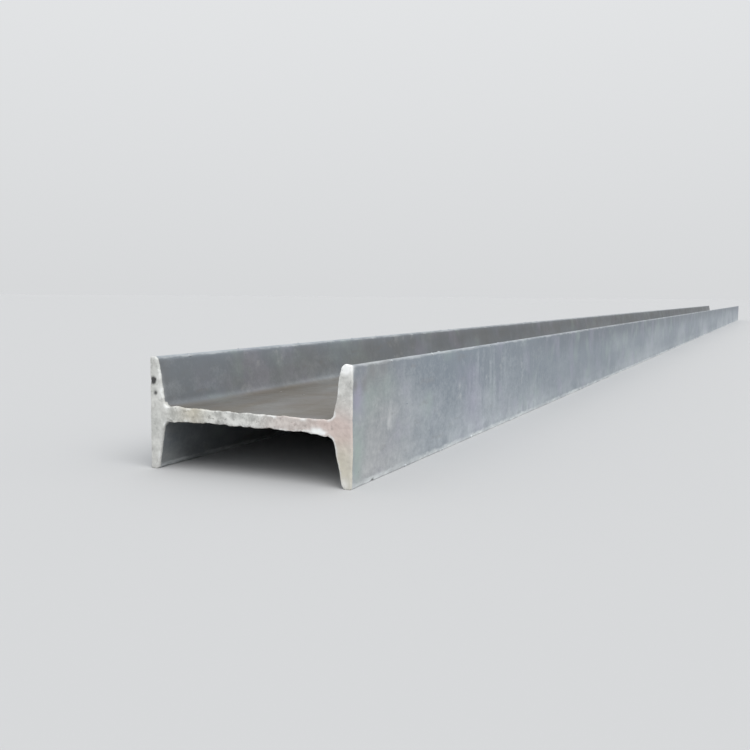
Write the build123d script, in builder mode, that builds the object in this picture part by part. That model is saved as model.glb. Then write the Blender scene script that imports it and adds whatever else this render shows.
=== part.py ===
from build123d import *
import os

# A hot-rolled steel I-beam with tapered flanges, lying on the edges of its flanges.
# X runs along the beam, Y across its depth and Z along the width of its flanges.
# The origin is on the ground under the middle of the beam. Sizes are in millimetres.

# length of the stock
length = 6000.0

# rolled section
depth = 200.0
flange_width = 100.0
web_thickness = 7.0
flange_thickness = 11.4  # halfway between the edge of a flange and the web
flange_slope = 1 / 6  # of the inner face, against the outer face
root_radius = 9.0  # where a flange meets the web
toe_radius = 4.5  # on the inner corner of a flange's edge
corner_radius = 1.5  # on the outer corner of a flange's edge

# a flange grows thicker from its edges to the web
outstand = (flange_width - web_thickness) / 2
half_rise = flange_slope * outstand / 2
thickness_at_web = flange_thickness + half_rise
thickness_at_edge = flange_thickness - half_rise

# the two roundings of an edge leave some of it flat between them
toe_rounding = min(toe_radius, 0.6 * thickness_at_edge)
corner_rounding = min(corner_radius, 0.3 * thickness_at_edge)

half_depth = depth / 2
half_width = flange_width / 2
half_web = web_thickness / 2

# the corners of one quarter of the section, out along the web and up the flange
quarter = [
    (half_depth - thickness_at_web, half_web),
    (half_depth - thickness_at_edge, half_width),
    (half_depth, half_width),
]
quarter_roundings = [root_radius, toe_rounding, corner_rounding]

# one flange with both its edges, and then the other flange, half a turn away
right_flange = quarter + [(x, -y) for x, y in reversed(quarter)]
left_flange = [(-x, -y) for x, y in right_flange]
flange_roundings = quarter_roundings + quarter_roundings[::-1]

# the section's own x runs along the depth, and its own y points up
section_plane = Plane(origin=(0, 0, half_width), x_dir=(0, 1, 0), z_dir=(1, 0, 0))

with BuildPart() as i_beam:
    with BuildSketch(section_plane) as section:
        with BuildLine() as outline:
            FilletPolyline(
                *right_flange,
                *left_flange,
                radius=flange_roundings + flange_roundings,
                close=True,
            )
        make_face()
    extrude(amount=length / 2, both=True)
i_beam.part.label = "i_beam"

os.makedirs("parts", exist_ok=True)
export_step(i_beam.part, "parts/i_beam.step")
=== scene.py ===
import math
import random

import bpy
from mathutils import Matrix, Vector, noise
from mathutils.geometry import delaunay_2d_cdt


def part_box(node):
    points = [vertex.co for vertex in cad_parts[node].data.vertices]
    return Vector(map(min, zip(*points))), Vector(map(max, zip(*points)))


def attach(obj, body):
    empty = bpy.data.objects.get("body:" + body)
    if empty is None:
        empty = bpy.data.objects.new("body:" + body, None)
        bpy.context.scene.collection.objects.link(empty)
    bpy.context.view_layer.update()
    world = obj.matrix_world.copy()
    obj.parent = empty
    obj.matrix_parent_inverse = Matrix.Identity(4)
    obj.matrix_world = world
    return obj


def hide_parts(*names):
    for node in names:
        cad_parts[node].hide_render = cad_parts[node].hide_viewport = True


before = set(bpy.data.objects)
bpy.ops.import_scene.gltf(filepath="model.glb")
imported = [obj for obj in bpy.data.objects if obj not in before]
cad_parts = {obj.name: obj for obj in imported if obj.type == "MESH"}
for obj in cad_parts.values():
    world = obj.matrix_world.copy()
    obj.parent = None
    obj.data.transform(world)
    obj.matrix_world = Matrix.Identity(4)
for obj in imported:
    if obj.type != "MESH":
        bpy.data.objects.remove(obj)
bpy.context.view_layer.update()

# A hot-dip galvanized I-beam lies on the edges of its flanges, with its web level.
# X runs along the beam, Y across its depth and Z along the width of its flanges.
# The near end is at low X and the right flange at low Y. Every length is in metres.

mm = 0.001

# The rolled section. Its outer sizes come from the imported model.
low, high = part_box("i_beam")
length, depth, flange_width = high - low
near, far = low.x, high.x
right, left = low.y, high.y
middle_height = (low.z + high.z) / 2
top = high.z
web_thickness = 7.0 * mm
flange_thickness = 11.4 * mm  # halfway between the edge of a flange and the web
flange_slope = 1 / 6
root_radius = 9.0 * mm
toe_radius = 4.5 * mm
corner_radius = 1.5 * mm

# The web turns into a flange between these two distances from the beam's middle plane.
web_end = depth / 2 - 24 * mm
flange_start = depth / 2 - 14 * mm

# The mesh is fine for this far from each end, and coarser between.
fine_reach = 80 * mm
first_step = 0.7 * mm
step_growth = 1.12
fine_step = 3 * mm
coarse_step = 20 * mm
rim_radius = 1.2 * mm  # rounding of the cut ends
rim_steps = 4
face_spacing = 1.3 * mm  # of the points on a cut end

# Zinc collects in a ragged lip round the cut ends.
lip_reach = 11 * mm
longest_lip = 1.6 * lip_reach
face_relief_reach = 4 * mm  # over which the unevenness of a cut end fades out, back from it

# How far the painted highlight of the rim runs in over a cut end, and back from it.
rim_width_on_end = 2.6 * mm
rim_width_behind = 3 * mm

# How far the pale look of a cut end runs back over the web and over the flanges.
web_pale_reach = 9 * mm
flange_pale_reach = 2 * mm

# Small shallow chips strewn over each cut end. Their radius and depth are ranges in mm.
chips_per_end = 36
chip_radii = (0.7, 1.7)
chip_depths = (0.2, 0.45)

# Drops of zinc: the parts that they sit on, how many, and their radius and height in mm.
bead_kinds = (
    (("corner",), 380, (0.8, 2.0), (0.35, 0.8)),
    (("toe", "edge"), 110, (1.0, 2.4), (0.4, 0.9)),
    (("outer", "inner", "root", "web"), 170, (0.6, 1.4), (0.2, 0.45)),
)
bead_stretch = 1.35  # how much longer they are along the beam
# How strongly each drop takes the painted highlight of the rims
bead_highlight = 0.55
bead_clearance = 15 * mm  # from the cut ends


# The section's outline

def straight(start, end, steps):
    """The points of a straight stretch, without its last one."""
    return [start.lerp(end, i / steps) for i in range(steps)]


def arc(before, corner, after, radius, steps):
    """The points that round a corner, both ends included."""
    one = (before - corner).normalized()
    other = (after - corner).normalized()
    half = one.angle(other) / 2
    centre = corner + (one + other).normalized() * radius / math.sin(half)
    start = corner + one * radius / math.tan(half) - centre
    end = corner + other * radius / math.tan(half) - centre
    turn = start.angle(end)
    points = []
    for i in range(steps + 1):
        share = i / steps
        along = start * math.sin((1 - share) * turn) + end * math.sin(share * turn)
        points.append(centre + along / math.sin(turn))
    return points


def section_quarter():
    """One quarter of the outline, from the middle of the web to the middle of a flange.

    Gives (point, part, kept) for each point, where kept says that the coarse mesh has it too.
    """
    outstand = (flange_width - web_thickness) / 2
    half_rise = flange_slope * outstand / 2
    web = web_thickness / 2
    outer = depth / 2
    web_middle = Vector((0, web))
    root = Vector((outer - flange_thickness - half_rise, web))
    toe = Vector((outer - flange_thickness + half_rise, flange_width / 2))
    corner = Vector((outer, flange_width / 2))
    flange_middle = Vector((outer, 0))

    root_arc = arc(web_middle, root, toe, root_radius, 10)
    toe_arc = arc(root, toe, corner, toe_radius, 8)
    corner_arc = arc(toe, corner, flange_middle, corner_radius, 6)

    # each stretch's part and points, and how many steps the coarse mesh takes at once
    stretches = (
        ("web", straight(web_middle, root_arc[0], 56), 14),
        ("root", root_arc[:-1], 2),
        ("inner", straight(root_arc[-1], toe_arc[0], 24), 6),
        ("toe", toe_arc[:-1], 2),
        ("edge", straight(toe_arc[-1], corner_arc[0], 2), 2),
        ("corner", corner_arc[:-1], 2),
        ("outer", straight(corner_arc[-1], flange_middle, 24), 4),
    )
    outline = []
    for part, points, coarse in stretches:
        outline += [(point, part, i % coarse == 0) for i, point in enumerate(points)]
    outline.append((flange_middle, "outer", True))
    return outline


def section_ring():
    """The whole outline, clockwise as seen against X, closed on itself."""
    quarter = section_quarter()

    def flipped(y_sign, z_sign):
        return [(Vector((p.x * y_sign, p.y * z_sign)), part, kept) for p, part, kept in quarter]

    ring = flipped(1, 1)[:-1]
    ring += flipped(1, -1)[:0:-1]
    ring += flipped(-1, -1)[:-1]
    ring += flipped(-1, 1)[:0:-1]
    return ring


def outward_normals(points):
    """The outward direction at each point of a closed outline."""
    normals = []
    for i, _ in enumerate(points):
        along = points[(i + 1) % len(points)] - points[i - 1]
        normals.append(Vector((-along.y, along.x)).normalized())
    return normals


ring = section_ring()
ring_points = [point for point, _, _ in ring]
ring_normals = outward_normals(ring_points)
ring_parts = [part for _, part, _ in ring]
kept_indices = [i for i, (_, _, kept) in enumerate(ring) if kept]


# Spots: thick places, chips and stains

def spots_at(place, spots):
    """Adds up soft round spots, each (x, y, z, radius, strength), at a place."""
    spot_reach = 2.5  # radii
    total = 0.0
    for x, y, z, radius, strength in spots:
        if abs(place.x - x) > spot_reach * radius:
            continue
        away = (place - Vector((x, y, z))).length / radius
        total += strength * math.exp(-away * away)
    return total


def spot_row(start, step, count, radius, strength, weaker=0.0):
    """A row of soft spots. Each is by so much weaker than the one before it."""
    places = [Vector(start) + i * Vector(step) for i in range(count)]
    return [(*place, radius, strength - i * weaker) for i, place in enumerate(places)]


def scattered_chips(x):
    """The small chips of the cut end at x, on its web and its flanges."""
    scattered = []
    for _ in range(chips_per_end):
        y = draw.uniform(right, left)
        on_web = abs(y) < flange_start
        z = middle_height + draw.uniform(-5, 5) * mm if on_web else draw.uniform(low.z, top)
        radius, chip_depth = draw.uniform(*chip_radii) * mm, draw.uniform(*chip_depths) * mm
        scattered.append((x, y, z, radius, chip_depth))
    return scattered


# Thick places in the zinc just behind the near end: place, radius and height.
behind_end = near + 1 * mm
thick_spots = [
    (behind_end, right + 15 * mm, top - 12 * mm, 11 * mm, 1.8 * mm),
    (behind_end, right + 6 * mm, top - 2 * mm, 5 * mm, 0.5 * mm),
    (behind_end, right + 34 * mm, 44 * mm, 4 * mm, 1.4 * mm),
    (behind_end, right + 25 * mm, 44.5 * mm, 5 * mm, 2.2 * mm),
    (behind_end, right + 18 * mm, 43 * mm, 5.5 * mm, 3.0 * mm),
    (behind_end, right + 14 * mm, 61 * mm, 8 * mm, 1.2 * mm),
    (behind_end, right + 12 * mm, 30 * mm, 13 * mm, 1.2 * mm),
    (behind_end, left - 30 * mm, 44 * mm, 12 * mm, 1.4 * mm),
    (behind_end, left - 21 * mm, 44 * mm, 6 * mm, 1.2 * mm),
]

# Places where the cut end or an edge is chipped: place, radius and depth.
draw = random.Random(11)
chips = [
    (near, left - 2.4 * mm, 79 * mm, 3.7 * mm, 1.2 * mm),
    (near, left - 5.5 * mm, 68 * mm, 2.3 * mm, 0.8 * mm),
    (near + 40.5 * mm, right, low.z + 0.5 * mm, 2.2 * mm, 1.0 * mm),
    *scattered_chips(near),
    *scattered_chips(far),
]

# Stains and white glints of the near end and of the right flange's outer face: place, radius and
# strength.
# A pale one lightens the zinc, a warm one makes it less blue and a streaky one brings out streaks.
# The white ones are lumps of zinc, brightened with painted highlights.
stains_and_glints = {
    "pink": [
        (near, right + 9 * mm, 48 * mm, 17 * mm, 0.9),
        (near, right + 26 * mm, 50 * mm, 14 * mm, 0.6),
        (near, right + 52 * mm, 51 * mm, 20 * mm, 0.55),
        (near, right + 72 * mm, 46 * mm, 14 * mm, 0.25),
        (near + 3 * mm, right, 42 * mm, 14 * mm, 0.3),
    ],
    "straw": [
        (near, right + 6 * mm, 12 * mm, 17 * mm, 0.8),
        (near, right + 8 * mm, 30 * mm, 12 * mm, 0.4),
        (near, right + 156 * mm, 52 * mm, 18 * mm, 0.4),
        (near + 8 * mm, right + 154 * mm, 54 * mm, 9 * mm, 0.9),
    ],
    "lilac": [
        (near + 13 * mm, right, 68 * mm, 12 * mm, 1.0),
        (near + 12 * mm, right, 80 * mm, 8 * mm, 0.6),
        (near + 300 * mm, right, 40 * mm, 26 * mm, 0.6),
    ],
    "green": [
        (near + 11 * mm, right, 30 * mm, 12 * mm, 0.9),
        (near + 9 * mm, right, 12 * mm, 9 * mm, 0.9),
        (near + 36 * mm, right, 70 * mm, 18 * mm, 0.5),
        (near + 68 * mm, right, 78 * mm, 14 * mm, 0.5),
    ],
    "pale": [
        (near + 90 * mm, right, 30 * mm, 200 * mm, 0.14),
        (near + 30 * mm, right, 14 * mm, 80 * mm, 0.15),
        (near + 120 * mm, right, 76 * mm, 44 * mm, 0.12),
        (near + 200 * mm, right, 76 * mm, 34 * mm, 0.15),
        (near + 330 * mm, right, 66 * mm, 60 * mm, 0.13),
        *spot_row((near + 73 * mm, right, 43 * mm), (1 * mm, 0, 5 * mm), 5, 3.6 * mm, 0.5, 0.08),
        *spot_row((near + 58 * mm, right, 44 * mm), (0, 0, 5 * mm), 4, 2.8 * mm, 0.25),
        *spot_row((near + 200 * mm, right, 15 * mm), (30 * mm, 0, 0), 7, 19 * mm, 0.12),
    ],
    "warm": [
        (near + 40 * mm, right, 10 * mm, 90 * mm, 0.9),
        (near + 45 * mm, right, 92 * mm, 40 * mm, 0.6),
    ],
    "dirt": [
        (near + 6 * mm, right, 84 * mm, 5 * mm, 0.9),
        (near + 24 * mm, right, 84 * mm, 6 * mm, 0.7),
        (near + 38 * mm, right, 93 * mm, 9 * mm, 0.7),
        (near + 61 * mm, right, 95 * mm, 9 * mm, 0.5),
    ],
    "streaky": [
        (near + 60 * mm, right, 60 * mm, 26 * mm, 0.7),
        (near + 300 * mm, right, 72 * mm, 40 * mm, 1.0),
        (near + 370 * mm, right, 70 * mm, 50 * mm, 1.0),
        (near + 560 * mm, right, 60 * mm, 50 * mm, 1.0),
    ],
    # white lumps of zinc, brightened with painted highlights
    "white": [
        (near, right + 6 * mm, top - 1.5 * mm, 4.6 * mm, 2.0),
        (near, right + 2.5 * mm, top - 3 * mm, 3.5 * mm, 0.9),
        (near, right + 7 * mm, 4 * mm, 5 * mm, 0.5),
        (near, right + 34 * mm, 45 * mm, 3 * mm, 1.4),
        (near, right + 29 * mm, 45.8 * mm, 2.6 * mm, 1.2),
        (near, right + 25 * mm, 42.6 * mm, 3.2 * mm, 1.8),
        (near, left - 18 * mm, 56 * mm, 2.2 * mm, 0.6),
        (near, left - 9.5 * mm, 82 * mm, 3 * mm, 0.35),
        (near, left - 10.5 * mm, 73 * mm, 4 * mm, 0.35),
        (near, left - 12 * mm, 66 * mm, 3.5 * mm, 0.35),
    ],
}

# What each vertex carries for the material, from 0 to 1.
mark_names = ("cut_end", "rim", "chip", *stains_and_glints)


def spot_marks(place):
    """How much a place is chipped, stained and brightened by painted highlights."""
    marks = {name: spots_at(place, spots) for name, spots in stains_and_glints.items()}
    return {"chip": spots_at(place, chips) / mm, **marks}


# Relief and rim. Where a function takes end, that is -1 at the near end and 1 at the far one.

def ripple(place, sizes, layer):
    """Smooth noise from about -1 to 1 with its own size along each axis. Each layer differs."""
    layer_shift = 31.7
    gain = 1.6
    x, y, z = (position / size for position, size in zip(place, sizes))
    return noise.noise(Vector((x, y, z + layer_shift * layer))) * gain


def lobes(place, size, layer):
    """Rounded lobes side by side, from 0 in the clefts between them to 1 on their tops."""
    layer_shift = 17.3
    lobe_radius = 0.75  # sizes
    distances, _ = noise.voronoi(place / size + Vector((0, 0, layer_shift * layer)))
    return max(0.0, 1 - (distances[0] / lobe_radius) ** 2)


def smooth_step(value):
    """Goes softly from 0 to 1 as the value does, and is level outside."""
    value = min(max(value, 0.0), 1.0)
    return value * value * (3 - 2 * value)


def skin_relief(place):
    """The slight unevenness of the zinc on the rolled faces. Only the fine mesh shows its runs."""
    swell = ripple(place, (70 * mm, 160 * mm, 160 * mm), 1)
    runs = ripple(place, (9 * mm, 60 * mm, 60 * mm), 2)
    from_end = min(place.x - near, far - place.x)
    runs *= 1 - smooth_step(from_end / fine_reach)
    return (0.10 * swell + 0.05 * runs) * mm


def lip_height(place, part, end):
    """How far the zinc stands out round a cut end, right at the end."""
    across = (place.y - right) / depth
    uneven = ripple(place, (14 * mm, 14 * mm, 14 * mm), 6 + end)
    lobe = 0.6 * lobes(place, 7 * mm, 6 + end) + 0.4 * lobes(place, 3.2 * mm, 8 + end)
    if part in ("edge", "corner", "outer"):
        return (0.15 + 0.1 * uneven + 0.15 * lobe) * mm
    if place.z > middle_height:
        on_web = 1.4 + 1.1 * across + 0.5 * uneven + 1.0 * lobe
    else:
        on_web = 1.7 - 0.2 * across + 0.6 * uneven + (2.3 - 1.4 * across) * lobe
    on_flange = 0.6 - 0.4 * across + 0.2 * uneven + 0.4 * lobe
    into_flange = smooth_step((abs(place.y) - web_end) / (flange_start - web_end))
    return (on_web + (on_flange - on_web) * into_flange) * mm


def lip_at(place, part, end, from_end):
    """The height of the lip at a distance from the cut end."""
    if from_end >= longest_lip:
        return 0.0
    reach = lip_reach * (0.95 + 0.4 * ripple(place, (9 * mm, 12 * mm, 12 * mm), 20 + end))
    return lip_height(place, part, end) * (1 - smooth_step(from_end / reach))


def face_relief(place, end):
    """How far the cut end stands out, away from the beam's middle."""
    swell = ripple(place, (9 * mm, 9 * mm, 9 * mm), 11 + end)
    grain = ripple(place, (2.6 * mm, 2.6 * mm, 2.6 * mm), 14 + end)
    return (0.2 * swell + 0.12 * grain + 0.35 * lobes(place, 3.6 * mm, 9 + end)) * mm


def rim_highlight(place, end, from_rim, width):
    """How strong the painted highlight is by the rim of a cut end, less so at the beam's outer
    faces.
    """
    uneven = 0.5 + 0.5 * ripple(place, (11 * mm, 11 * mm, 11 * mm), 17 + end)
    from_outer_face = depth / 2 - abs(place.y)
    at_outer_face = smooth_step((6 * mm - from_outer_face) / (4 * mm))
    return uneven * (1 - 0.6 * at_outer_face) * (1 - smooth_step(from_rim / width))


# The beam's mesh

class Surface:
    """Vertices, their marks and the faces between them."""

    def __init__(self):
        self.points = []
        self.faces = []
        self.marks = {name: [] for name in mark_names}

    def add(self, point, **marks):
        """Adds a vertex, no lower than the floor, and gives its number."""
        self.points.append(Vector((point.x, point.y, max(point.z, low.z))))
        for name in mark_names:
            self.marks[name].append(min(marks.get(name, 0.0), 1.0))
        return len(self.points) - 1

    def mesh(self, name):
        """The surface as a smooth mesh, with its marks as attributes."""
        made = bpy.data.meshes.new(name)
        made.from_pydata(self.points, [], self.faces)
        for mark, values in self.marks.items():
            made.attributes.new(mark, "FLOAT", "POINT").data.foreach_set("value", values)
        made.polygons.foreach_set("use_smooth", [True] * len(made.polygons))
        made.validate()
        return made


def end_offsets():
    """Distances from a cut end at which the fine mesh has a ring, from the rim inwards."""
    offsets = []
    offset = rim_radius
    step = first_step
    while offset < fine_reach - fine_step:
        offset += step
        offsets.append(offset)
        step = min(step * step_growth, fine_step)
    offsets.append(fine_reach)
    return offsets


def add_point(surface, index, x, inset=0.0):
    """Adds a point of the ring at x, with the lip, relief and chips of its place."""
    base, normal, part = ring_points[index], ring_normals[index], ring_parts[index]
    end = -1 if x < (near + far) / 2 else 1
    from_end = x - near if end < 0 else far - x
    place = Vector((x, base.x, base.y + middle_height))
    marks = spot_marks(place)
    thick = spots_at(place, thick_spots) + lip_at(place, part, end, from_end)
    out = skin_relief(place) + thick - marks["chip"] * mm - inset
    place.y += normal.x * out
    place.z += normal.y * out
    face_share = 1 - smooth_step(from_end / face_relief_reach)
    if face_share > 0:
        place.x += end * face_relief(place, end) * face_share
    from_rim = from_end - rim_radius
    pale_reach = web_pale_reach if part in ("web", "root") else flange_pale_reach
    marks["cut_end"] = 1 - smooth_step(from_rim / pale_reach)
    marks["rim"] = rim_highlight(place, end, from_rim, rim_width_behind)
    return surface.add(place, **marks)


def add_ring(surface, x, indices, inset=0.0):
    """Adds a ring of points at x and gives their numbers, by place in the outline."""
    return {index: add_point(surface, index, x, inset) for index in indices}


def join_rings(surface, first, second):
    """Adds the faces between two rings. Where one has more points, its faces have them too."""
    shared = sorted(set(first) & set(second))
    for order, index in enumerate(shared):
        steps = (shared[(order + 1) % len(shared)] - index) % len(ring)
        span = [(index + i) % len(ring) for i in range(steps + 1)]
        one = [first[i] for i in span if i in first]
        other = [second[i] for i in span if i in second]
        surface.faces.append(tuple(one + other[::-1]))


def inside(point, outline):
    """Whether a point lies inside a closed outline."""
    crossings = False
    for i, after in enumerate(outline):
        before = outline[i - 1]
        if (before.y > point.y) != (after.y > point.y):
            share = (point.y - before.y) / (after.y - before.y)
            if point.x < before.x + share * (after.x - before.x):
                crossings = not crossings
    return crossings


def cap_points(outline):
    """Points spread evenly inside the outline of a cut end, clear of its rim."""
    row_height = face_spacing * math.sqrt(3) / 2
    clearance = 0.75 * face_spacing
    hollow_end = depth / 2 - 20 * mm
    points = []
    for row in range(int(flange_width / row_height) + 1):
        z = low.z + row * row_height
        shift = face_spacing / 2 if row % 2 else 0.0
        off_web = abs(z - middle_height) > web_thickness
        for column in range(int(depth / face_spacing) + 1):
            point = Vector((right + shift + column * face_spacing, z))
            if off_web and abs(point.x) < hollow_end:
                continue
            if inside(point, outline) and min((point - p).length for p in outline) > clearance:
                points.append(point)
    return points


def add_cap(surface, ring_numbers, end):
    """Closes a cut end with small triangles that follow its relief."""
    numbers = [ring_numbers[i] for i in range(len(ring))]
    outline = [surface.points[n].yz for n in numbers]
    edges = [(i, (i + 1) % len(outline)) for i in range(len(outline))]
    only_inside = 1
    tolerance = 1e-7
    points, _, triangles, sources, _, _ = delaunay_2d_cdt(
        outline + cap_points(outline), edges, [], only_inside, tolerance)
    x = near if end < 0 else far
    own = []
    for point, source in zip(points, sources):
        if source and source[0] < len(outline):
            own.append(numbers[source[0]])
            continue
        place = Vector((x, point.x, point.y))
        marks = spot_marks(place)
        from_rim = min((point - p).length for p in outline)
        marks["rim"] = rim_highlight(place, end, from_rim, rim_width_on_end)
        place.x += end * (face_relief(place, end) - marks["chip"] * mm)
        own.append(surface.add(place, cut_end=1.0, **marks))
    for triangle in triangles:
        corners = [own[i] for i in triangle]
        surface.faces.append(tuple(corners if end < 0 else corners[::-1]))


def add_bead(surface, index, x, radius, height):
    """Adds a drop of zinc, half sunk in the surface at a place of the ring."""
    base, normal = ring_points[index], ring_normals[index]
    centre = Vector((x, base.x, base.y + middle_height))
    lengthways = Vector((1, 0, 0))
    outward = Vector((0, normal.x, normal.y))
    sideways = outward.cross(lengthways)
    bands, steps = 4, 8
    rows = []
    for band in range(bands + 1):
        tilt = math.pi * band / bands
        turns = steps if 0 < band < bands else 1
        row = []
        for step in range(turns):
            turn = 2 * math.pi * step / steps
            along = bead_stretch * math.cos(turn) * lengthways + math.sin(turn) * sideways
            point = centre + radius * math.sin(tilt) * along + height * math.cos(tilt) * outward
            row.append(surface.add(point, rim=bead_highlight))
        rows.append(row)
    for upper, lower in zip(rows, rows[1:]):
        for step in range(steps):
            corners = [
                upper[step % len(upper)],
                upper[(step + 1) % len(upper)],
                lower[(step + 1) % len(lower)],
                lower[step % len(lower)],
            ]
            surface.faces.append(tuple(dict.fromkeys(corners)))


def add_beads(surface):
    """Scatters the drops along the beam."""
    for parts, count, radii, heights in bead_kinds:
        indices = [i for i, part in enumerate(ring_parts) if part in parts]
        for _ in range(count):
            x = draw.uniform(near + bead_clearance, far - bead_clearance)
            radius, height = draw.uniform(*radii) * mm, draw.uniform(*heights) * mm
            add_bead(surface, draw.choice(indices), x, radius, height)


def build_beam():
    """The whole beam as one surface, with its drops."""
    surface = Surface()
    every = range(len(ring))
    rim_angles = [math.pi / 2 * i / rim_steps for i in range(rim_steps + 1)]
    rim = [(rim_radius * (1 - math.cos(a)), rim_radius * (1 - math.sin(a))) for a in rim_angles]
    steps = round((length - 2 * fine_reach) / coarse_step)
    span = (length - 2 * fine_reach) / steps

    rings = [add_ring(surface, near + back, every, inset) for inset, back in reversed(rim)]
    rings += [add_ring(surface, near + offset, every) for offset in end_offsets()]
    for i in range(1, steps):
        rings.append(add_ring(surface, near + fine_reach + i * span, kept_indices))
    rings += [add_ring(surface, far - offset, every) for offset in reversed(end_offsets())]
    rings += [add_ring(surface, far - back, every, inset) for inset, back in rim]
    for first, second in zip(rings, rings[1:]):
        join_rings(surface, first, second)
    add_cap(surface, rings[0], -1)
    add_cap(surface, rings[-1], 1)
    add_beads(surface)
    return surface


# Colours of the rolled faces and of what lies on them, with the painted highlight of their edges
# and the painted shade of their tops
dark_zinc = (0.248, 0.288, 0.332, 1)
pale_zinc = (0.550, 0.590, 0.618, 1)
warm_dark_zinc = (0.272, 0.290, 0.312, 1)
warm_pale_zinc = (0.590, 0.594, 0.592, 1)
lilac_zinc = (0.45, 0.42, 0.55, 1)
green_zinc = (0.42, 0.52, 0.47, 1)
edge_highlight_colour = (0.80, 0.83, 0.83, 1)
white_bloom = (0.62, 0.64, 0.64, 1)
painted_shade_colour = (0.12, 0.14, 0.165, 1)
grey_dirt = (0.27, 0.27, 0.275, 1)
dark_fleck = (0.16, 0.17, 0.18, 1)
brown_dust_and_shade = (0.130, 0.110, 0.083, 1)

# Colours of the cut ends, with the painted highlights of their rims and of their lumps and drops of
# zinc
bright_cut = (0.73, 0.73, 0.70, 1)
dull_cut = (0.42, 0.42, 0.40, 1)
plain_cut = (0.62, 0.62, 0.595, 1)
greenish_cut = (0.52, 0.54, 0.51, 1)
dark_pit = (0.28, 0.28, 0.27, 1)
pink_stain = (0.62, 0.49, 0.45, 1)
straw_stain = (0.60, 0.55, 0.43, 1)
rim_highlight_colour = (0.84, 0.86, 0.85, 1)
white_zinc_and_glint = (0.95, 0.96, 0.95, 1)
dark_chip = (0.07, 0.07, 0.07, 1)

# Faint colours that passivated zinc takes on: the mark, the size and layer of its noise, the colour
tints = (
    ("lilac", (50, 60, 60), 8, lilac_zinc),
    ("green", (60, 50, 50), 9, green_zinc),
)


# Materials

class Tree:
    """A material's nodes. Each call adds a node, takes sockets or values and gives a socket."""

    def __init__(self, name):
        self.material = bpy.data.materials.new(name)
        self.material.use_nodes = True
        self.nodes = self.material.node_tree.nodes
        self.links = self.material.node_tree.links
        self.shader = self.nodes["Principled BSDF"]
        self.where = self.node("ShaderNodeTexCoord").outputs["Object"]

    def node(self, kind, inputs=None, **settings):
        """The node itself, where it has several sockets to choose from."""
        made = self.nodes.new(kind)
        for name, value in settings.items():
            setattr(made, name, value)
        for name, value in (inputs or {}).items():
            self.feed(made.inputs[name], value)
        return made

    def feed(self, socket, value):
        """Links a socket to another one, or sets its value."""
        if isinstance(value, bpy.types.NodeSocket):
            self.links.new(value, socket)
        else:
            socket.default_value = value

    def mark(self, name):
        """A mark that the mesh carries."""
        return self.node("ShaderNodeAttribute", attribute_name=name).outputs["Fac"]

    def cloud(self, sizes, layer, detail=3.0, roughness=0.55):
        """Noise about 0.5, with its own size in mm along X, Y and Z. Each layer differs."""
        scaled = self.node("ShaderNodeMapping", {
            "Vector": self.where,
            "Location": (layer * 3.7, layer * 1.3, layer * 5.9),
            "Scale": tuple(1 / (size * mm) for size in sizes),
        })
        return self.node("ShaderNodeTexNoise", {
            "Vector": scaled.outputs["Vector"],
            "Scale": 1.0,
            "Detail": detail,
            "Roughness": roughness,
        }).outputs["Fac"]

    def ramp(self, value, start, end, from_value=0.0, to_value=1.0):
        """Turns start..end into from_value..to_value, level outside, with soft shoulders."""
        return self.node("ShaderNodeMapRange", {
            "Value": value,
            "From Min": start,
            "From Max": end,
            "To Min": from_value,
            "To Max": to_value,
        }, interpolation_type="SMOOTHSTEP").outputs["Result"]

    def spread(self, cloud, lowest, highest):
        """Turns noise about 0.5 into a value that fills lowest..highest."""
        return self.ramp(cloud, 0.3, 0.7, lowest, highest)

    def maths(self, operation, first, second=0.0):
        return self.node("ShaderNodeMath", {0: first, 1: second}, operation=operation).outputs[0]

    def add(self, first, *others):
        for other in others:
            first = self.maths("ADD", first, other)
        return first

    def subtract(self, first, second):
        return self.maths("SUBTRACT", first, second)

    def multiply(self, first, *others):
        for other in others:
            first = self.maths("MULTIPLY", first, other)
        return first

    def mix(self, factor, first, second):
        """Mixes two colours."""
        inputs = {0: factor, 6: first, 7: second}
        return self.node("ShaderNodeMix", inputs, data_type="RGBA").outputs[2]


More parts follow.
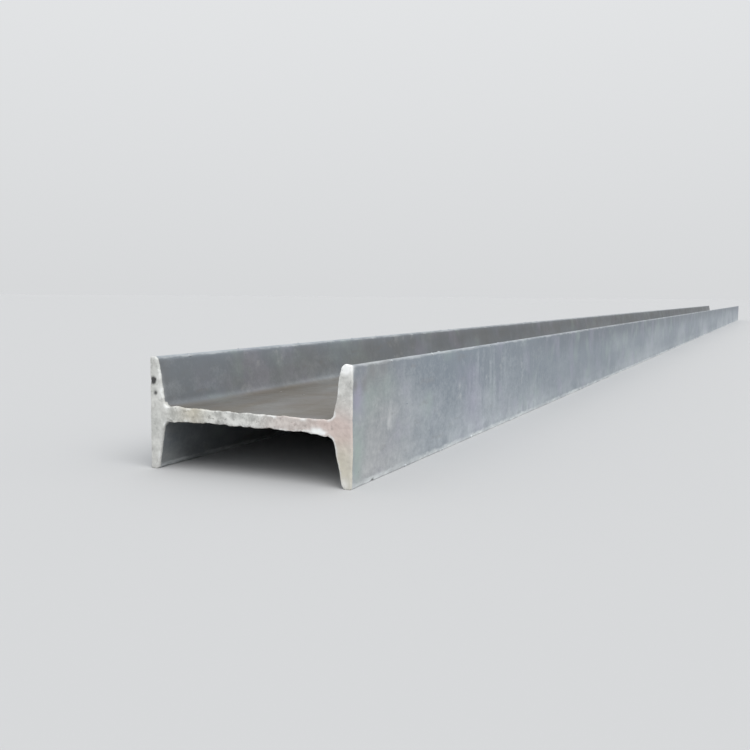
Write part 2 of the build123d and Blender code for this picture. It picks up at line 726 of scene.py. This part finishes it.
class ZincTree(Tree):
    """The layers of the beam's zinc, with the places and the noise that they share."""

    def __init__(self):
        super().__init__("galvanized_zinc")
        place = self.node("ShaderNodeSeparateXYZ", {0: self.where})
        self.height = place.outputs["Z"]
        self.from_middle = self.maths("ABSOLUTE", self.subtract(self.height, middle_height))
        self.from_centre = self.maths("ABSOLUTE", place.outputs["Y"])
        self.hollow = self.ramp(self.from_centre, depth / 2 - 5 * mm, depth / 2 - 9 * mm)

        # away from the near end small marks and small relief fade
        self.further = self.ramp(place.outputs["X"], near + 250 * mm, near + 900 * mm)
        self.fading = self.ramp(self.further, 0.0, 1.0, 1.0, 0.4)

        self.blotch = self.cloud((38, 26, 26), 3, detail=6.0, roughness=0.62)
        self.streak = self.cloud((11, 80, 80), 4, detail=5.0)
        self.grain = self.cloud((2.2, 2.6, 2.6), 6, detail=2.0)
        self.mottle = self.cloud((8, 8, 8), 14, detail=5.0, roughness=0.65)

    def small_marks(self):
        """Blotches, streaks across the beam in some places, speckles, grain and scratches."""
        patches = self.ramp(self.cloud((170, 60, 60), 5, detail=2.0), 0.58, 0.72)
        streaky = self.add(patches, self.mark("streaky"))
        speckle = self.cloud((8, 6.5, 6.5), 19, detail=5.0, roughness=0.75)
        scratch = self.ramp(self.cloud((240, 1.1, 1.1), 7, detail=1.0), 0.64, 0.72, 0.0, 0.07)
        return self.add(
            self.spread(self.blotch, -0.15, 0.15),
            self.multiply(self.ramp(self.streak, 0.32, 0.68, -0.28, 0.28), streaky),
            self.spread(speckle, -0.13, 0.13),
            self.spread(self.grain, -0.06, 0.06),
            self.multiply(scratch, self.ramp(self.hollow, 1.0, 0.0)),
        )

    def rolled_skin(self):
        """The zinc, paler lower down with a painted reflection of the floor, paler near the near
        end with painted light, and darker at the top further along with painted shade.
        """
        # Painted reflection of the floor: the tone grows paler lower down.
        lower = self.subtract(1.0, self.multiply(self.height, 1 / flange_width))
        zones = self.cloud((900, 300, 300), 1, detail=2.0)
        broad = self.cloud((240, 80, 80), 2, detail=4.0)
        wavering_height = self.add(self.height, self.spread(self.blotch, -5 * mm, 5 * mm))
        # Painted reflection of the floor, paler still in a wavering band near the bottom.
        painted_floor_reflection = self.ramp(wavering_height, 24 * mm, 13 * mm)
        tone = self.add(
            self.multiply(lower, self.spread(broad, 0.38, 0.58)),
            # painted light: paler near the near end, darker further along
            self.multiply(self.further, -0.08),
            self.spread(zones, -0.14, 0.10),
            self.spread(broad, -0.16, 0.14),
            self.multiply(self.small_marks(), self.fading),
            self.multiply(painted_floor_reflection, self.ramp(self.blotch, 0.35, 0.6, 0.03, 0.20)),
            self.mark("pale"),
        )
        cool_skin = self.mix(tone, dark_zinc, pale_zinc)
        warm_skin = self.mix(tone, warm_dark_zinc, warm_pale_zinc)
        skin = self.mix(self.mark("warm"), cool_skin, warm_skin)
        # Painted shade: the top of each face grows darker further from the near end.
        upper = self.ramp(self.height, top - 45 * mm, top)
        return self.mix(self.multiply(self.further, upper, 0.55), skin, painted_shade_colour)

    def stained(self, skin):
        """Adds faint tints, a whitish bloom, dull grey dirt and dark flecks."""
        for name, sizes, layer, colour in tints:
            faint = self.ramp(self.cloud(sizes, layer), 0.52, 0.75, 0.0, 0.5)
            tint = self.add(faint, self.mark(name))
            skin = self.mix(self.multiply(tint, 0.6), skin, colour)
        bloom_cloud = self.cloud((30, 26, 26), 10, detail=5.0, roughness=0.7)
        bloom = self.ramp(bloom_cloud, 0.58, 0.72, 0.0, 0.4)
        skin = self.mix(self.multiply(bloom, self.fading), skin, white_bloom)
        smudge_cloud = self.cloud((46, 12, 12), 17, detail=5.0, roughness=0.65)
        smudge = self.ramp(smudge_cloud, 0.58, 0.74, 0.0, 0.45)
        dirt = self.add(self.multiply(smudge, self.fading), self.mark("dirt"))
        skin = self.mix(dirt, skin, grey_dirt)
        fleck = self.ramp(self.cloud((3.4, 3.4, 3.4), 11, detail=1.0), 0.74, 0.80, 0.0, 0.5)
        return self.mix(fleck, skin, dark_fleck)

    def dust_and_shade(self):
        """How dusty and how darkly shaded the hollows are, most where they look up, on the web; the
        darkness is partly painted shade.
        """
        normal = self.node("ShaderNodeNewGeometry").outputs["Normal"]
        facing = self.node("ShaderNodeSeparateXYZ", {0: normal})
        looks_up = self.ramp(facing.outputs["Z"], 0.5, 0.95)
        uneven = self.spread(self.cloud((95, 40, 40), 12, detail=4.0), 0.32, 0.52)
        return self.multiply(self.hollow, self.add(uneven, self.multiply(looks_up, 0.38)))

    def edge_highlight(self):
        """The painted highlight along the edges of the flanges, a broken line, thicker on the lower
        ones, where it also stands for a thicker run of zinc.
        """
        wobble = self.spread(self.cloud((14, 5, 5), 13), -0.8 * mm, 0.8 * mm)
        from_edge = self.subtract(flange_width / 2, self.add(self.from_middle, wobble))
        thin = self.ramp(from_edge, 2.6 * mm, 1.0 * mm, 0.0, 0.5)
        thick = self.ramp(self.add(self.height, wobble), 5.8 * mm, 3.0 * mm)
        broken = self.ramp(self.cloud((26, 9, 9), 18, detail=4.0), 0.35, 0.65, 0.3, 0.75)
        return self.multiply(self.add(thin, thick), broken)

    def cut_face(self):
        """The cut ends: matt off-white, more mottled and pitted on the web than on the flanges."""
        on_web = self.ramp(self.from_centre, flange_start, web_end, 0.45, 1.0)
        mottled = self.mix(self.ramp(self.mottle, 0.36, 0.64), dull_cut, bright_cut)
        cut = self.mix(on_web, plain_cut, mottled)
        patches = self.ramp(self.cloud((24, 24, 24), 16, detail=2.0), 0.4, 0.7, 0.0, 0.25)
        cut = self.mix(patches, cut, greenish_cut)
        pits = self.ramp(self.cloud((4.5, 4.5, 4.5), 15, detail=3.0), 0.58, 0.70, 0.0, 0.8)
        cut = self.mix(self.multiply(pits, on_web), cut, dark_pit)
        cut = self.mix(self.multiply(self.mark("pink"), 0.75), cut, pink_stain)
        return self.mix(self.multiply(self.mark("straw"), 0.75), cut, straw_stain)


def zinc_material():
    """Dull galvanized zinc, with paler, coarser cut ends and a dusty brown in its hollows, partly
    painted shade, most on its upper web.
    """
    tree = ZincTree()
    ramp, spread, add, multiply, mix = tree.ramp, tree.spread, tree.add, tree.multiply, tree.mix
    blotch, streak, grain, mottle = tree.blotch, tree.streak, tree.grain, tree.mottle

    dust_and_shade = tree.dust_and_shade()
    # Dusty brown with painted shade in the hollows
    skin = mix(dust_and_shade, tree.stained(tree.rolled_skin()), brown_dust_and_shade)
    # Painted highlight along the edges of the flanges
    skin = mix(tree.edge_highlight(), skin, edge_highlight_colour)

    ragged_end = add(tree.mark("cut_end"), spread(mottle, -0.25, 0.25))
    on_cut = ramp(ragged_end, 0.35, 0.65)
    # Painted highlight along the rims of the cut ends and on the drops of zinc
    rim = multiply(tree.mark("rim"), ramp(mottle, 0.35, 0.6, 0.45, 1.0))
    colour = mix(on_cut, skin, tree.cut_face())
    colour = mix(ramp(rim, 0.2, 1.0, 0.0, 0.75), colour, rim_highlight_colour)
    # White lumps of zinc, brightened to near white with painted highlights
    colour = mix(tree.mark("white"), colour, white_zinc_and_glint)
    colour = mix(ramp(tree.mark("chip"), 0.1, 0.8), colour, dark_chip)
    tree.feed(tree.shader.inputs["Base Color"], colour)

    roughness = add(
        0.45,
        multiply(spread(streak, -0.05, 0.05), tree.fading),
        multiply(spread(blotch, -0.06, 0.06), tree.fading),
        multiply(on_cut, 0.2),
        multiply(dust_and_shade, 0.2),
    )
    tree.feed(tree.shader.inputs["Roughness"], roughness)
    tree.feed(tree.shader.inputs["Metallic"], ramp(add(on_cut, dust_and_shade), 0.0, 1.0, 0.55, 0.12))

    skin_height = add(multiply(streak, 0.6), multiply(blotch, 1.2), multiply(grain, 0.5))
    height = add(multiply(skin_height, tree.fading), multiply(mottle, on_cut, 2.5))
    bump = tree.node("ShaderNodeBump", {"Strength": 0.5, "Distance": 0.35 * mm, "Height": height})
    tree.feed(tree.shader.inputs["Normal"], bump.outputs["Normal"])
    return tree.material


def floor_material():
    """A plain pale floor."""
    tree = Tree("pale_floor")
    tree.feed(tree.shader.inputs["Base Color"], (0.540, 0.543, 0.546, 1))
    tree.feed(tree.shader.inputs["Roughness"], 0.85)
    tree.feed(tree.shader.inputs["Specular IOR Level"], 0.2)
    return tree.material


beam = bpy.data.objects.new("galvanized_beam", build_beam().mesh("galvanized_beam"))
bpy.context.scene.collection.objects.link(beam)
beam.data.materials.append(zinc_material())
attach(beam, "root")
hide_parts("i_beam")

# Floor, sky and light

floor_radius = 90
bpy.ops.mesh.primitive_circle_add(vertices=128, radius=floor_radius, fill_type="NGON")
floor = bpy.context.object
floor.name = "floor"
floor.data.materials.append(floor_material())

# The sky grows brighter overhead, by just as much as makes the floor meet it without a line.
horizon_light = 0.70
overhead_gain = 0.4
world = bpy.data.worlds.new("studio")
world.use_nodes = True
nodes, links = world.node_tree.nodes, world.node_tree.links
direction = nodes.new("ShaderNodeTexCoord").outputs["Generated"]
height = nodes.new("ShaderNodeSeparateXYZ")
links.new(direction, height.inputs[0])
strength = nodes.new("ShaderNodeMapRange")
strength.inputs["To Min"].default_value = horizon_light
strength.inputs["To Max"].default_value = horizon_light * (1 + overhead_gain)
links.new(height.outputs["Z"], strength.inputs["Value"])
links.new(strength.outputs["Result"], nodes["Background"].inputs["Strength"])
nodes["Background"].inputs["Color"].default_value = (0.97, 0.985, 1.0, 1)
bpy.context.scene.world = world

# One distant light with a broad disc is even all over and gives soft shadows.
light_data = bpy.data.lights.new("key", "SUN")
light_data.angle = math.radians(50)
light_data.energy = 1.6
light = bpy.data.objects.new("key", light_data)
light.rotation_euler = Vector((0.45, 0.62, -0.95)).to_track_quat("-Z", "Y").to_euler()
bpy.context.scene.collection.objects.link(light)

# The camera is at the photograph's place: before the near end, to the right and just above the
# beam. Its sensor and lens are in mm.
camera_data = bpy.data.cameras.new("camera")
camera_data.sensor_width = 36
camera_data.lens = 42.08
camera_data.clip_start = 0.01
camera_data.clip_end = 300
camera = bpy.data.objects.new("camera", camera_data)
camera.location = (near - 0.6174, -0.4098, 0.1558)
camera.rotation_euler = (math.radians(84.796), math.radians(-0.437), math.radians(-64.853))
bpy.context.scene.collection.objects.link(camera)
bpy.context.scene.camera = camera
bpy.context.scene.view_settings.view_transform = "Standard"
